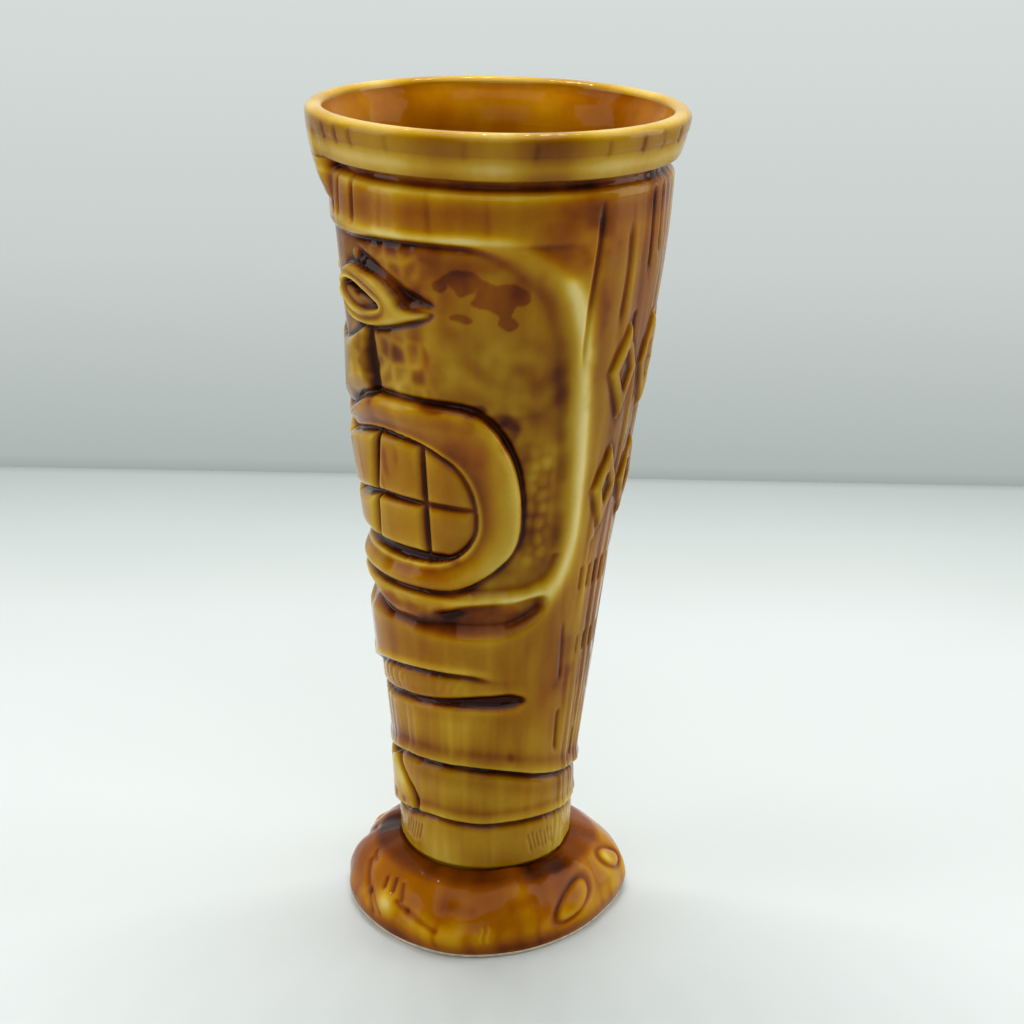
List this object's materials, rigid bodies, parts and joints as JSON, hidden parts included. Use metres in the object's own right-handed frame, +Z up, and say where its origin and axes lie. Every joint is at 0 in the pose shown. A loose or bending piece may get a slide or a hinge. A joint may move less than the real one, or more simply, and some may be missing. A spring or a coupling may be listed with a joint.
{
  "type": "tiki mug",
  "caption": "Tall glazed ceramic mug carved as a tapering log with a grinning face, standing on a lobed foot like a flow of lava; holds a drink.",
  "frame": {"origin": "on the floor, at the middle of the mug's box, on the axis of the cup", "axes": "+Z up along the cup's axis; the face looks along -Y; +X is on the face's left side"},
  "size_m": [0.0778, 0.0778, 0.178],
  "materials": {
    "amber_glaze": "glossy transparent amber-brown glaze over pale clay, tan on the ridges and dark brown where it pools",
    "inside_glaze": "glossy orange-amber glaze",
    "lava_glaze": "glossy golden-brown glaze",
    "bare_clay": "matt unglazed cream clay"
  },
  "bodies": {
    "root": {"log_cup": "inside_glaze", "rim_band": "amber_glaze", "rim_gusset": "amber_glaze", "brow_band": "amber_glaze", "back_panel": "amber_glaze", "nose": "amber_glaze", "lips": "amber_glaze", "tooth_upper_1": "amber_glaze", "tooth_upper_2": "amber_glaze", "tooth_upper_3": "amber_glaze", "tooth_upper_4": "amber_glaze", "tooth_upper_5": "amber_glaze", "tooth_upper_6": "amber_glaze", "tooth_lower_1": "amber_glaze", "tooth_lower_2": "amber_glaze", "tooth_lower_3": "amber_glaze", "tooth_lower_4": "amber_glaze", "tooth_lower_5": "amber_glaze", "tooth_lower_6": "amber_glaze", "eyelid_left": "amber_glaze", "eyelid_right": "amber_glaze", "eyeball_left": "amber_glaze", "eyeball_right": "amber_glaze", "chin_strip": "amber_glaze", "belly_band": "amber_glaze", "belly_fold": "amber_glaze", "waist_band": "amber_glaze", "knee_band": "amber_glaze", "ankle_band": "amber_glaze", "back_lozenges": "amber_glaze", "lava_foot": "lava_glaze", "lava_stone_left": "lava_glaze", "lava_stone_back": "lava_glaze", "lava_stone_right": "lava_glaze", "foot_ring": "bare_clay"}
  },
  "joints": []
}
